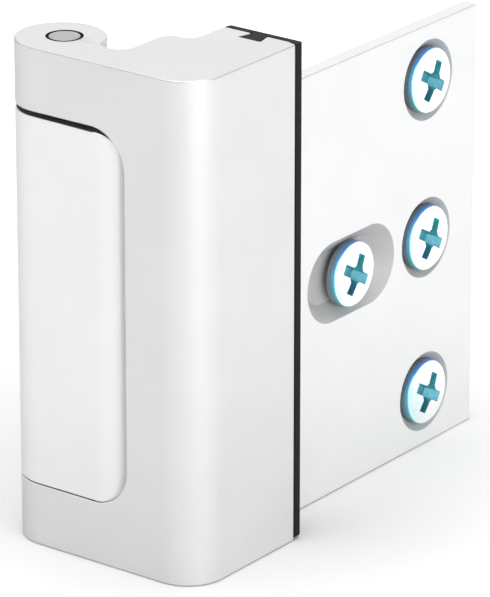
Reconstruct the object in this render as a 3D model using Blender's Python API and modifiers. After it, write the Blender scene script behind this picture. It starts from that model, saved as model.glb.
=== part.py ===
"""Flip door lock: a swing bar hinged on a bracket that is screwed to a door's jamb.

Bar and bracket are cut from two interlocking extrusions. The bracket's knuckle and arm
fill a window in the bar, flush with its face, and its leg nests in a recess behind.
Plan positions are measured from the hinge axis: +X along the bar, +Y into the doorway.
Units are metres and +Z is up. The origin is below the middle of the part's outline.
"""

import math

import bmesh
import bpy
from mathutils import Matrix, Vector

MM = 0.001

# Clearances shared by neighbouring pieces
RUNNING_GAP = 0.3 * MM
OVERRUN = 2.0 * MM
ARC_TOLERANCE = 0.02 * MM
EDGE_CHAMFER = 0.3 * MM

# Swing bar extrusion
BAR_HEIGHT = 76.2 * MM
BAR_FRONT = 7.0 * MM
BAR_REACH = 28.5 * MM
BAR_BACK = 17.0 * MM
BARREL_OFFSET = 0.4 * MM
FRONT_CORNER_RADIUS = 6.0 * MM
NOTCH_CORNER_FILLET = 0.2 * MM
NOTCH_FILLET = 2.3 * MM
NOTCH_WALL_SHARE = 0.1814
LEDGE_BACK = 9.6 * MM
LEDGE_ROUNDING_SHARE = 0.48
RECESS_WALL_SHARE = 0.3907
RECESS_ROUNDING = 0.9 * MM
BACK_CHAMFER_WIDTH = 1.6 * MM
BACK_CHAMFER_DEPTH = 0.9 * MM

# Window in the bar, open on the hinge side
WINDOW_HEIGHT = 57.2 * MM
WINDOW_REACH_SHARE = 0.4186
WINDOW_CORNER_RADIUS = 6.0 * MM
RELIEF_CORNER_RADIUS = 4.0 * MM
RELIEF_INSET = 0.1 * MM

# Push-down travel of the bar, and the gap above the knuckle that allows it
PRESS_TRAVEL = 0.6 * MM
PRESS_MARGIN = 0.2 * MM

# Bracket extrusion: knuckle and arm in the window, leg behind it
ARM_BACK = -1.5 * MM
ARM_CORNER_RADIUS = 4.9 * MM
ARM_FILLET = 1.0 * MM
WINDOW_GAP = 0.5 * MM
LEG_THICKNESS = 3.8 * MM

# Bracket extrusion: shoulder behind the bar and plate on the jamb
BAR_PAST_PLATE = 6.0 * MM
PLATE_THICKNESS = 2.5 * MM
PLATE_END = 70.4 * MM
PLATE_HEIGHT = 67.4 * MM
SHOULDER_THICKNESS = 3.0 * MM
SHOULDER_ROUNDING = 2.5 * MM
SHOULDER_FILLET = 1.5 * MM

# Screw holes in the plate
HOLE_COLUMN_FROM_END = 12.6 * MM
HOLE_SPACING_SHARE = 0.371
SLOT_FROM_COLUMN = 19.2 * MM
SLOT_LENGTH = 21.8 * MM
COUNTERSINK_RADIUS = 6.25 * MM
HOLE_RADIUS = 3.5 * MM

# Wood screws with oval heads
SCREW_LENGTH = 12.7 * MM
HEAD_RADIUS = 5.2 * MM
HEAD_SINK = 0.1 * MM
HEAD_RIM = 0.5 * MM
HEAD_DOME = 0.7 * MM
HEAD_CONE_DEPTH = 2.1 * MM
SHANK_RADIUS = 2.4 * MM
POINT_LENGTH = 4.5 * MM
RECESS_SPAN = 6.2 * MM
RECESS_BLADE = 1.2 * MM
RECESS_DEPTH = 1.9 * MM
RECESS_TURN = math.radians(-30)

# Hinge pin and its bores
PIN_RADIUS = 2.5 * MM
PIN_CHAMFER = 0.3 * MM
COUNTERBORE_RADIUS = 3.9 * MM
BUSH_LENGTH = 12.0 * MM
WASHER_THICKNESS = 0.6 * MM

# Return spring round the pin, above the upper bush
SPRING_WIRE_RADIUS = 0.35 * MM
SPRING_HEIGHT = 12.0 * MM
SPRING_END_GAP = 0.5 * MM
SPRING_TURNS = 7
SPRING_POINTS_PER_TURN = 10

# Rubber pad, held by a dovetail tongue in the bar's back
PAD_THICKNESS = 1.0 * MM
PAD_SIDE_GAP = 0.1 * MM
PAD_END_GAP = 0.4 * MM
PAD_ROUNDING = 0.6 * MM
TONGUE_CENTRE_SHARE = 0.6837
TONGUE_NECK = 2.6 * MM
TONGUE_FOOT = 3.9 * MM
TONGUE_DEPTH = 2.4 * MM

# Sizes that follow from those above
BARREL_RADIUS = BAR_FRONT - BARREL_OFFSET
BARREL_BACK = BARREL_RADIUS - BARREL_OFFSET
NOTCH_FLOOR = -BARREL_OFFSET - NOTCH_CORNER_FILLET
BAR_SPAN = BAR_REACH - BAR_FRONT
NOTCH_WALL = BAR_FRONT + NOTCH_WALL_SHARE * BAR_SPAN
RECESS_WALL = BAR_FRONT + RECESS_WALL_SHARE * BAR_SPAN
LEDGE_ROUNDING = LEDGE_ROUNDING_SHARE * (RECESS_WALL - NOTCH_WALL)
WINDOW_REACH = BAR_FRONT + WINDOW_REACH_SHARE * BAR_SPAN
TONGUE_CENTRE = BAR_FRONT + TONGUE_CENTRE_SHARE * BAR_SPAN
WINDOW_BOTTOM = (BAR_HEIGHT - WINDOW_HEIGHT) / 2
WINDOW_TOP = WINDOW_BOTTOM + WINDOW_HEIGHT
KNUCKLE_BOTTOM = WINDOW_BOTTOM + RUNNING_GAP
KNUCKLE_TOP = WINDOW_TOP - PRESS_TRAVEL - PRESS_MARGIN
ARM_REACH = WINDOW_REACH - WINDOW_GAP
LEG_OUTER = RECESS_WALL - RUNNING_GAP
LEG_INNER = LEG_OUTER - LEG_THICKNESS
LEG_FRONT = LEDGE_BACK + RUNNING_GAP
PAD_START = RECESS_WALL + PAD_SIDE_GAP
PAD_INNER = BAR_BACK + RUNNING_GAP
PAD_FACE = PAD_INNER + PAD_THICKNESS
SHOULDER_FRONT = PAD_FACE + RUNNING_GAP
SHOULDER_BACK = SHOULDER_FRONT + SHOULDER_THICKNESS
PLATE_FACE = BAR_REACH - BAR_PAST_PLATE
PLATE_BACK = PLATE_FACE - PLATE_THICKNESS
HOLE_COLUMN = PLATE_END - HOLE_COLUMN_FROM_END
SLOT_CENTRE = HOLE_COLUMN - SLOT_FROM_COLUMN
PLATE_MIDDLE = PLATE_HEIGHT / 2
HOLE_SPACING = HOLE_SPACING_SHARE * PLATE_HEIGHT
PIN_BORE_RADIUS = PIN_RADIUS + RUNNING_GAP
BUSH_RADIUS = COUNTERBORE_RADIUS - RUNNING_GAP
LOWER_SEAT = KNUCKLE_BOTTOM + WASHER_THICKNESS + BUSH_LENGTH + 2 * RUNNING_GAP
WASHER_TOP = WINDOW_TOP - RUNNING_GAP
WASHER_BOTTOM = WASHER_TOP - WASHER_THICKNESS
SPRING_TOP = WASHER_BOTTOM - RUNNING_GAP
SPRING_BOTTOM = SPRING_TOP - SPRING_HEIGHT
UPPER_BUSH_TOP = SPRING_BOTTOM - RUNNING_GAP
UPPER_SEAT = UPPER_BUSH_TOP - BUSH_LENGTH - RUNNING_GAP
HINGE = Vector(((BAR_FRONT - BAR_REACH) / 2, (BAR_FRONT - PLATE_END) / 2, 0))

# Colour, metallic value and roughness of each finish
SATIN_WHITE = ((0.83, 0.84, 0.85, 1), 0.6, 0.38)
STEEL = ((0.5, 0.5, 0.51, 1), 1, 0.35)
BRONZE = ((0.55, 0.36, 0.16, 1), 1, 0.4)
ZINC = ((0.8, 0.86, 0.9, 1), 1, 0.2)
RUBBER = ((0.02, 0.02, 0.02, 1), 0, 0.7)


def new_collection(name):
    """Add a collection to the scene."""
    collection = bpy.data.collections.new(name)
    bpy.context.scene.collection.children.link(collection)
    return collection


def material(name, finish):
    """Make a Principled material from a colour, a metallic value and a roughness."""
    colour, metallic, roughness = finish
    made = bpy.data.materials.new(name)
    made.use_nodes = True
    shader = made.node_tree.nodes["Principled BSDF"]
    shader.inputs["Base Color"].default_value = colour
    shader.inputs["Metallic"].default_value = metallic
    shader.inputs["Roughness"].default_value = roughness
    return made


def arc_steps(radius, angle):
    """Count the straight pieces that keep an arc within the tolerance."""
    step = 2 * math.acos(1 - ARC_TOLERANCE / max(radius, 2 * ARC_TOLERANCE))
    return max(2, math.ceil(abs(angle) / step))


def rounded(corners):
    """Turn corners (x, y, radius) into a closed outline with its corners rounded."""
    points = []
    for index, (x, y, radius) in enumerate(corners):
        corner = Vector((x, y))
        before = Vector(corners[index - 1][:2]) - corner
        after = Vector(corners[(index + 1) % len(corners)][:2]) - corner
        if radius == 0:
            points.append(corner)
            continue
        before.normalize()
        after.normalize()
        half = before.angle(after) / 2
        centre = corner + (before + after).normalized() * (radius / math.sin(half))
        start = corner + before * (radius / math.tan(half)) - centre
        end = corner + after * (radius / math.tan(half)) - centre
        turn = start.angle_signed(end)
        steps = arc_steps(radius, turn)
        for step in range(steps + 1):
            points.append(centre + Matrix.Rotation(-turn * step / steps, 2) @ start)
    return points


def link_mesh(name, mesh, collection, location, rotation=(0, 0, 0)):
    """Add an object for a mesh."""
    made = bpy.data.objects.new(name, mesh)
    made.location = location
    made.rotation_euler = rotation
    collection.objects.link(made)
    return made


def prism(name, outline, low, high, collection, location, rotation=(0, 0, 0), chamfer=0):
    """Extrude a flat outline from low to high along its own Z, with chamfered rims."""
    curve = bpy.data.curves.new(name, "CURVE")
    curve.dimensions = "2D"
    curve.fill_mode = "BOTH"
    curve.extrude = (high - low) / 2 - chamfer
    curve.bevel_depth = chamfer
    curve.bevel_resolution = 0
    curve.offset = -chamfer
    spline = curve.splines.new("POLY")
    spline.points.add(len(outline) - 1)
    for point, place in zip(spline.points, outline):
        point.co = (place[0], place[1], 0, 1)
    spline.use_cyclic_u = True
    drawn = bpy.data.objects.new(name, curve)
    bpy.context.scene.collection.objects.link(drawn)
    mesh = bpy.data.meshes.new_from_object(drawn.evaluated_get(bpy.context.evaluated_depsgraph_get()))
    bpy.data.objects.remove(drawn)
    bpy.data.curves.remove(curve)
    welded = bmesh.new()
    welded.from_mesh(mesh)
    bmesh.ops.remove_doubles(welded, verts=welded.verts, dist=RUNNING_GAP / 100)
    bmesh.ops.translate(welded, verts=welded.verts, vec=(0, 0, (high + low) / 2))
    bmesh.ops.recalc_face_normals(welded, faces=welded.faces)
    welded.to_mesh(mesh)
    welded.free()
    mesh.name = name
    return link_mesh(name, mesh, collection, location, rotation)


def turned(name, profile, collection, location, rotation=(0, 0, 0), closed=False):
    """Revolve a profile of (radius, height) pairs, listed down its outer side."""
    mesh = bpy.data.meshes.new(name)
    edges = [(index, index + 1) for index in range(len(profile) - 1)]
    if closed:
        edges.append((len(profile) - 1, 0))
    mesh.from_pydata([(radius, 0, height) for radius, height in profile], edges, [])
    made = link_mesh(name, mesh, collection, location, rotation)
    spin = made.modifiers.new("turn", "SCREW")
    widest = max(radius for radius, _ in profile)
    spin.steps = 4 * math.ceil(arc_steps(widest, math.tau) / 4)
    spin.render_steps = spin.steps
    spin.use_merge_vertices = True
    spin.merge_threshold = RUNNING_GAP / 10
    spin.use_smooth_shade = True
    return made


def round_cutter(name, low, high, radius, collection, location):
    """Make an upright cylinder between two heights, for cutting."""
    mesh = bpy.data.meshes.new(name)
    drill = bmesh.new()
    bmesh.ops.create_cone(
        drill,
        cap_ends=True,
        segments=4 * math.ceil(arc_steps(radius, math.tau) / 4),
        radius1=radius,
        radius2=radius,
        depth=high - low,
    )
    bmesh.ops.translate(drill, verts=drill.verts, vec=(0, 0, (high + low) / 2))
    drill.to_mesh(mesh)
    drill.free()
    return link_mesh(name, mesh, collection, location)


def combine(target, tool, operation="DIFFERENCE"):
    """Cut, join or intersect a piece with a tool, and hide the tool."""
    step = target.modifiers.new(tool.name, "BOOLEAN")
    step.operation = operation
    step.solver = "EXACT"
    step.object = tool
    tool.hide_render = True
    tool.display_type = "WIRE"


def finish_piece(piece, finish):
    """Give a piece its own material and smooth shading with sharp edges."""
    piece.data.materials.append(material(piece.name, finish))
    piece.data.shade_smooth()
    piece.data.set_sharp_from_angle(angle=math.radians(30))
    piece.modifiers.new("flat_faces_lead", "WEIGHTED_NORMAL").keep_sharp = True


def tongue_corners(clearance):
    """Corners of the dovetail from the bar's back face down, grown by a clearance."""
    neck = TONGUE_NECK / 2 + clearance
    foot = TONGUE_FOOT / 2 + clearance
    bottom = BAR_BACK - TONGUE_DEPTH - clearance
    return [
        (TONGUE_CENTRE - neck, BAR_BACK, 0),
        (TONGUE_CENTRE - foot, bottom, 0),
        (TONGUE_CENTRE + foot, bottom, 0),
        (TONGUE_CENTRE + neck, BAR_BACK, 0),
    ]


def window_outline(reach, bottom, top, radius):
    """Outline of the window, drawn along X and upwards, open past the barrel."""
    start = -BAR_FRONT - OVERRUN
    return rounded([(start, bottom, 0), (reach, bottom, radius), (reach, top, radius), (start, top, 0)])


def swing_bar(parts, cutters):
    """The bar: barrel, slab with a stepped back, window, dovetail slot and pin bore."""
    outline = rounded([
        (-BAR_FRONT, -BAR_FRONT, BARREL_RADIUS),
        (BAR_REACH, -BAR_FRONT, FRONT_CORNER_RADIUS),
        (BAR_REACH, BAR_BACK - BACK_CHAMFER_DEPTH, 0),
        (BAR_REACH - BACK_CHAMFER_WIDTH, BAR_BACK, 0),
        *reversed(tongue_corners(RUNNING_GAP)),
        (RECESS_WALL, BAR_BACK, RECESS_ROUNDING),
        (RECESS_WALL, LEDGE_BACK, LEDGE_ROUNDING),
        (NOTCH_WALL, LEDGE_BACK, LEDGE_ROUNDING),
        (NOTCH_WALL, NOTCH_FLOOR, NOTCH_FILLET),
        (BARREL_BACK, NOTCH_FLOOR, NOTCH_CORNER_FILLET),
        (BARREL_BACK, BARREL_BACK, BARREL_RADIUS),
        (-BAR_FRONT, BARREL_BACK, BARREL_RADIUS),
    ])
    bar = prism("swing_bar", outline, 0, BAR_HEIGHT, parts, HINGE, chamfer=EDGE_CHAMFER)
    opening = window_outline(WINDOW_REACH, WINDOW_BOTTOM, WINDOW_TOP, WINDOW_CORNER_RADIUS)
    window = prism(
        "window_cutter",
        opening,
        -BAR_BACK - OVERRUN,
        BAR_FRONT + OVERRUN,
        cutters,
        HINGE,
        rotation=(math.pi / 2, 0, 0),
    )
    combine(bar, window)
    reach = WINDOW_REACH - RELIEF_INSET
    relief = rounded([
        (0, WINDOW_TOP, 0),
        (reach, WINDOW_TOP, RELIEF_CORNER_RADIUS),
        (reach, WINDOW_BOTTOM, RELIEF_CORNER_RADIUS),
        (0, WINDOW_BOTTOM, 0),
    ])
    combine(bar, turned("relief_cutter", relief, cutters, HINGE))
    bore = round_cutter("bar_bore_cutter", -OVERRUN, BAR_HEIGHT + OVERRUN, PIN_BORE_RADIUS, cutters, HINGE)
    combine(bar, bore)
    finish_piece(bar, SATIN_WHITE)


def base_bracket(parts, cutters):
    """The bracket: knuckle, arm and leg in the window, then shoulder and jamb plate."""
    front = prism(
        "base_bracket",
        rounded([
            (-BAR_FRONT, -BAR_FRONT, BARREL_RADIUS),
            (ARM_REACH, -BAR_FRONT, ARM_CORNER_RADIUS),
            (ARM_REACH, LEG_FRONT + OVERRUN, 0),
            (LEG_INNER, LEG_FRONT + OVERRUN, 0),
            (LEG_INNER, ARM_BACK, ARM_FILLET),
            (BARREL_BACK, ARM_BACK, ARM_FILLET),
            (BARREL_BACK, BARREL_BACK, BARREL_RADIUS),
            (-BAR_FRONT, BARREL_BACK, BARREL_RADIUS),
        ]),
        KNUCKLE_BOTTOM,
        KNUCKLE_TOP,
        parts,
        HINGE,
    )
    block = prism(
        "arm_corner_guide",
        window_outline(ARM_REACH, KNUCKLE_BOTTOM, KNUCKLE_TOP, WINDOW_CORNER_RADIUS - RUNNING_GAP),
        -LEG_FRONT - 2 * OVERRUN,
        BAR_FRONT + OVERRUN,
        cutters,
        HINGE,
        rotation=(math.pi / 2, 0, 0),
    )
    combine(front, block, "INTERSECT")
    rear = prism(
        "plate_guide",
        rounded([
            (LEG_INNER, LEG_FRONT, 0),
            (LEG_OUTER, LEG_FRONT, LEDGE_ROUNDING - RUNNING_GAP),
            (LEG_OUTER, SHOULDER_FRONT, SHOULDER_FILLET),
            (PLATE_FACE, SHOULDER_FRONT, SHOULDER_ROUNDING),
            (PLATE_FACE, PLATE_END, 0),
            (PLATE_BACK, PLATE_END, 0),
            (PLATE_BACK, SHOULDER_BACK, SHOULDER_FILLET),
            (LEG_INNER, SHOULDER_BACK, SHOULDER_ROUNDING),
        ]),
        0,
        PLATE_HEIGHT,
        cutters,
        HINGE,
        chamfer=EDGE_CHAMFER,
    )
    combine(front, rear, "UNION")
    for name, low, high, size in (
        ("knuckle_bore_cutter", KNUCKLE_BOTTOM - OVERRUN, KNUCKLE_TOP + OVERRUN, PIN_BORE_RADIUS),
        ("lower_seat_cutter", KNUCKLE_BOTTOM - OVERRUN, LOWER_SEAT, COUNTERBORE_RADIUS),
        ("upper_seat_cutter", UPPER_SEAT, KNUCKLE_TOP + OVERRUN, COUNTERBORE_RADIUS),
    ):
        combine(front, round_cutter(name, low, high, size, cutters, HINGE))
    for tool in countersink_cutters(cutters):
        combine(front, tool)
    finish_piece(front, SATIN_WHITE)


def screw_places():
    """Name and centre of each screw, on the plate's outer face."""
    return {
        "jamb_screw_top": (PLATE_FACE, HOLE_COLUMN, PLATE_MIDDLE + HOLE_SPACING),
        "jamb_screw_middle": (PLATE_FACE, HOLE_COLUMN, PLATE_MIDDLE),
        "jamb_screw_bottom": (PLATE_FACE, HOLE_COLUMN, PLATE_MIDDLE - HOLE_SPACING),
        "slot_screw": (PLATE_FACE, SLOT_CENTRE, PLATE_MIDDLE),
    }


def countersink_cutters(cutters):
    """Cones for the round holes, and two cones joined by a wedge for the slot."""
    slope = (COUNTERSINK_RADIUS - HOLE_RADIUS) / PLATE_THICKNESS
    outer = COUNTERSINK_RADIUS + slope * OVERRUN
    inner = HOLE_RADIUS - slope * OVERRUN
    half_slot = SLOT_LENGTH / 2 - COUNTERSINK_RADIUS
    places = dict(screw_places())
    x, y, z = places.pop("slot_screw")
    places["slot_near"] = (x, y - half_slot, z)
    places["slot_far"] = (x, y + half_slot, z)
    back = -PLATE_THICKNESS - OVERRUN
    profile = [(0, OVERRUN), (outer, OVERRUN), (inner, back), (0, back)]
    made = []
    for name, place in places.items():
        centre = HINGE + Vector(place)
        made.append(turned(name + "_hole_cutter", profile, cutters, centre, (0, math.pi / 2, 0)))
    wedge = [(back, -inner), (OVERRUN, -outer), (OVERRUN, outer), (back, inner)]
    place = HINGE + Vector((x, y, z))
    made.append(prism("slot_cutter", wedge, -half_slot, half_slot, cutters, place, (math.pi / 2, 0, 0)))
    return made


def screw_profile():
    """Half section of a screw, from the top of its domed head down to its point."""
    lip = HEAD_RIM - HEAD_SINK
    dome_steps = 5
    dome = [
        (HEAD_RADIUS * math.sin(angle), lip + HEAD_DOME * (math.cos(angle) - math.cos(math.pi / 3)) * 2)
        for angle in (math.pi / 3 * step / dome_steps for step in range(dome_steps + 1))
    ]
    widest = dome[-1][0]
    dome = [(radius * HEAD_RADIUS / widest, height) for radius, height in dome]
    bottom = -HEAD_SINK - HEAD_CONE_DEPTH
    return [
        *dome,
        (HEAD_RADIUS, -HEAD_SINK),
        (SHANK_RADIUS, bottom),
        (SHANK_RADIUS, POINT_LENGTH - SCREW_LENGTH),
        (0, -SCREW_LENGTH),
    ]


def cross_outline():
    """Outline of the driver's cross, turned as the screws were left."""
    tip = RECESS_SPAN / 2
    side = RECESS_BLADE / 2
    points = []
    for quarter in range(4):
        turn = Matrix.Rotation(RECESS_TURN + quarter * math.pi / 2, 2)
        points += [turn @ Vector(corner) for corner in ((tip, -side), (tip, side), (side, side))]
    return points


def jamb_screws(parts, cutters):
    """The four screws, each with a cross recess."""
    top = HEAD_RIM + HEAD_DOME + OVERRUN
    floor = HEAD_RIM + HEAD_DOME - HEAD_SINK - RECESS_DEPTH
    turn = (0, math.pi / 2, 0)
    for name, place in screw_places().items():
        centre = HINGE + Vector(place)
        screw = turned(name, screw_profile(), parts, centre, turn)
        combine(screw, prism(name + "_cutter", cross_outline(), floor, top, cutters, centre, turn))
        finish_piece(screw, ZINC)


def door_pad(parts):
    """Rubber strip on the bar's back, with a dovetail tongue and a lip over the chamfer."""
    chamfer_run = BACK_CHAMFER_DEPTH / BACK_CHAMFER_WIDTH
    neck = TONGUE_NECK / 2
    foot = TONGUE_FOOT / 2
    flare = (foot - neck) / TONGUE_DEPTH * RUNNING_GAP
    outline = rounded([
        (PAD_START, PAD_INNER, 0),
        (TONGUE_CENTRE - neck + flare, PAD_INNER, 0),
        (TONGUE_CENTRE - foot, BAR_BACK - TONGUE_DEPTH, 0),
        (TONGUE_CENTRE + foot, BAR_BACK - TONGUE_DEPTH, 0),
        (TONGUE_CENTRE + neck - flare, PAD_INNER, 0),
        (BAR_REACH - BACK_CHAMFER_WIDTH + chamfer_run * RUNNING_GAP, PAD_INNER, 0),
        (BAR_REACH, PAD_INNER - BACK_CHAMFER_DEPTH, 0),
        (BAR_REACH, PAD_FACE, PAD_ROUNDING),
        (PAD_START, PAD_FACE, PAD_ROUNDING),
    ])
    pad = prism("door_pad", outline, PAD_END_GAP, BAR_HEIGHT - PAD_END_GAP, parts, HINGE)
    finish_piece(pad, RUBBER)


def hinge_hardware(parts):
    """Pin, bushes and washers on the hinge axis."""
    foot = RUNNING_GAP
    pin = turned(
        "hinge_pin",
        [
            (0, BAR_HEIGHT),
            (PIN_RADIUS - PIN_CHAMFER, BAR_HEIGHT),
            (PIN_RADIUS, BAR_HEIGHT - PIN_CHAMFER),
            (PIN_RADIUS, foot + PIN_CHAMFER),
            (PIN_RADIUS - PIN_CHAMFER, foot),
            (0, foot),
        ],
        parts,
        HINGE,
    )
    finish_piece(pin, STEEL)
    lower_bush_bottom = KNUCKLE_BOTTOM + WASHER_THICKNESS + RUNNING_GAP
    for name, low, high, finish in (
        ("lower_washer", KNUCKLE_BOTTOM, KNUCKLE_BOTTOM + WASHER_THICKNESS, STEEL),
        ("lower_bush", lower_bush_bottom, lower_bush_bottom + BUSH_LENGTH, BRONZE),
        ("upper_bush", UPPER_BUSH_TOP - BUSH_LENGTH, UPPER_BUSH_TOP, BRONZE),
        ("thrust_washer", WASHER_BOTTOM, WASHER_TOP, STEEL),
    ):
        ring = [(BUSH_RADIUS, high), (BUSH_RADIUS, low), (PIN_BORE_RADIUS, low), (PIN_BORE_RADIUS, high)]
        finish_piece(turned(name, ring, parts, HINGE, closed=True), finish)


def hinge_spring(parts):
    """Compression spring whose end turns lie close, wound round the pin."""
    coil_radius = (PIN_RADIUS + COUNTERBORE_RADIUS) / 2
    rise = SPRING_HEIGHT - 2 * SPRING_WIRE_RADIUS
    closed_rise = 2 * SPRING_WIRE_RADIUS + SPRING_END_GAP
    open_turns = SPRING_TURNS - 2

    def height(turns):
        """Height of the wire's middle after some turns: close, open, then close again."""
        if turns < 1:
            return closed_rise * turns
        if turns > SPRING_TURNS - 1:
            return rise - closed_rise * (SPRING_TURNS - turns)
        return closed_rise + (rise - 2 * closed_rise) * (turns - 1) / open_turns

    curve = bpy.data.curves.new("hinge_spring", "CURVE")
    curve.dimensions = "3D"
    curve.bevel_depth = SPRING_WIRE_RADIUS
    curve.bevel_resolution = 1
    curve.use_fill_caps = True
    count = SPRING_TURNS * SPRING_POINTS_PER_TURN + 1
    spline = curve.splines.new("POLY")
    spline.points.add(count - 1)
    places = []
    for index in range(count):
        turns = index / SPRING_POINTS_PER_TURN
        angle = math.tau * turns
        place = Vector((coil_radius * math.cos(angle), coil_radius * math.sin(angle), height(turns)))
        places.append(place)
        spline.points[index].co = (*place, 1)
    spring = bpy.data.objects.new("hinge_spring", curve)
    spring.location = HINGE + Vector((0, 0, SPRING_BOTTOM + SPRING_WIRE_RADIUS))
    parts.objects.link(spring)
    curve.materials.append(material("hinge_spring", STEEL))
    curve.splines[0].use_smooth = True
    half_turn = SPRING_POINTS_PER_TURN // 2
    least = min(
        (places[later] - places[first]).length
        for first in range(count)
        for later in range(first + half_turn, count)
    )
    print(f"Least gap between the spring's turns: {(least - 2 * SPRING_WIRE_RADIUS) / MM:.2f} mm")


def build():
    """Clear the scene and model every piece."""
    for old in list(bpy.data.objects):
        bpy.data.objects.remove(old)
    parts = new_collection("flip_door_lock")
    cutters = new_collection("cutters")
    swing_bar(parts, cutters)
    base_bracket(parts, cutters)
    door_pad(parts)
    hinge_hardware(parts)
    hinge_spring(parts)
    jamb_screws(parts, cutters)


build()
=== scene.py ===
import math

import bmesh
import bpy
from mathutils import Matrix, Vector


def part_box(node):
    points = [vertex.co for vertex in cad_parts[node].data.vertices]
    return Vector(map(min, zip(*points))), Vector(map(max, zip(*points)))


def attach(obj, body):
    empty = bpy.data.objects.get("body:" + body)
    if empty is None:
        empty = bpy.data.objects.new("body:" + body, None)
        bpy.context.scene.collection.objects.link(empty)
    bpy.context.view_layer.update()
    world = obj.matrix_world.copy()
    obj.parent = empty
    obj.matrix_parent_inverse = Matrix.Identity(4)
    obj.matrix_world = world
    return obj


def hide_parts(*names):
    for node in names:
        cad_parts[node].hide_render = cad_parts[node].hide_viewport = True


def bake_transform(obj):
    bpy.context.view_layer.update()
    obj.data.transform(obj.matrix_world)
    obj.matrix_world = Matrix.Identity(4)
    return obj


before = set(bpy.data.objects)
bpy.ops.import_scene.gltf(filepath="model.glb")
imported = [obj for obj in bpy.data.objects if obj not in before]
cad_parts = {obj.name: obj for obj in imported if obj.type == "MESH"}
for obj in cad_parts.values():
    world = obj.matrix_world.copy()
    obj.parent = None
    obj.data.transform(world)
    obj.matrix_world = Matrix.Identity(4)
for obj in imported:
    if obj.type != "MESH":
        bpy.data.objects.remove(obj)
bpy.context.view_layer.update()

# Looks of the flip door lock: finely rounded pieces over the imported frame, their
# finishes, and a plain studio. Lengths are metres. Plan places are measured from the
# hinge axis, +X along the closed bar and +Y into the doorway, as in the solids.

MM = 0.001

# Places read from the frame
BAR_LOW, BAR_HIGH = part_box("swing_bar")
PLATE_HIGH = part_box("base_bracket")[1]
PAD_LOW, PAD_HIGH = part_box("door_pad")
PIN_LOW, PIN_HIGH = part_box("hinge_pin")
HINGE = Vector(((PIN_LOW.x + PIN_HIGH.x) / 2, (PIN_LOW.y + PIN_HIGH.y) / 2, 0))
BAR_HEIGHT = BAR_HIGH.z
BAR_REACH = BAR_HIGH.x - HINGE.x
BAR_FRONT = HINGE.x - BAR_LOW.x
PLATE_END = PLATE_HIGH.y - HINGE.y
PLATE_HEIGHT = PLATE_HIGH.z
PAD_FACE = PAD_HIGH.y - HINGE.y
PAD_START = PAD_LOW.x - HINGE.x
PIN_RADIUS = (PIN_HIGH.x - PIN_LOW.x) / 2

# Sizes of the bar
BAR_BACK = 17.0 * MM
FRONT_CORNER_RADIUS = 6.0 * MM
BARREL_OFFSET = 0.4 * MM
BARREL_RADIUS = BAR_FRONT - BARREL_OFFSET
BARREL_BACK = BARREL_RADIUS - BARREL_OFFSET
NOTCH_FLOOR = -0.45 * MM
NOTCH_FILLET = 2.3 * MM
NOTCH_WALL = 10.9 * MM
LEDGE_BACK = 9.6 * MM
LEDGE_ROUNDING = 2.16 * MM
RECESS_WALL = 15.4 * MM
RECESS_ROUNDING = 0.9 * MM
BACK_CHAMFER_WIDTH = 1.6 * MM
BACK_CHAMFER_DEPTH = 0.5 * MM
BACK_CHAMFER_ROUNDING = 0.5 * MM
WINDOW_HEIGHT = 57.2 * MM
WINDOW_REACH = 16.0 * MM
WINDOW_CORNER_RADIUS = 6.0 * MM
WINDOW_BOTTOM = (BAR_HEIGHT - WINDOW_HEIGHT) / 2
WINDOW_TOP = WINDOW_BOTTOM + WINDOW_HEIGHT
RELIEF_CORNER_RADIUS = 4.0 * MM
RELIEF_INSET = 0.1 * MM

# Sizes of the bores. A mouth's steps go outwards and upwards, as shares of its rounding,
# and sharp edges inside the rim stay as they are.
BORE_RADIUS = 2.66 * MM
MOUTH_ROUNDING = 0.08 * MM
MOUTH_SHARES = ((4, 1.8), (0.4, -0.3), (0, -1))
BORE_RIM = BORE_RADIUS + 2 * MOUTH_ROUNDING

# Sizes of the bracket. Sharp edges inside the knuckle's rim stay as they are.
LOWER_JOINT_GAP = 0.15 * MM
UPPER_JOINT_GAP = 0.8 * MM
KNUCKLE_BOTTOM = WINDOW_BOTTOM + LOWER_JOINT_GAP
KNUCKLE_TOP = WINDOW_TOP - UPPER_JOINT_GAP
KNUCKLE_RIM = BARREL_BACK - 1.0 * MM
ARM_REACH = 15.5 * MM
ARM_BACK = -1.5 * MM
ARM_CORNER_RADIUS = 4.9 * MM
BLOCK_CORNER_RADIUS = 5.0 * MM
ARM_FILLET = 1.0 * MM
LEG_INNER = 11.3 * MM
LEG_OUTER = 15.1 * MM
LEG_ROUNDING = 1.86 * MM
LEG_FRONT = 9.9 * MM
SHOULDER_FRONT = 18.6 * MM
SHOULDER_BACK = 21.6 * MM
SHOULDER_ROUNDING = 2.5 * MM
SHOULDER_FILLET = 1.5 * MM
PLATE_FACE = 22.5 * MM
PLATE_BACK = 20.0 * MM
PLATE_EDGE_ROUNDING = 0.4 * MM
COUNTERSINK_RADIUS = 6.25 * MM
HOLE_RADIUS = 3.5 * MM
WEB_DEPTH = 2.15 * MM
WEB_RADIUS = 2.6 * MM
SLOT_LENGTH = 21.8 * MM

# Sizes of the pad and its tongue
PAD_CORNER_RADIUS = 0.6 * MM
TONGUE_CENTRE = 21.7 * MM
TONGUE_NECK = 2.6 * MM
TONGUE_FOOT = 3.9 * MM
TONGUE_DEPTH = 2.4 * MM
TONGUE_LIP_ROUNDING = 0.3 * MM
SEAT_GAP = 0.04 * MM

# Sizes of the pin
PIN_CHAMFER = 0.25 * MM

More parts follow.
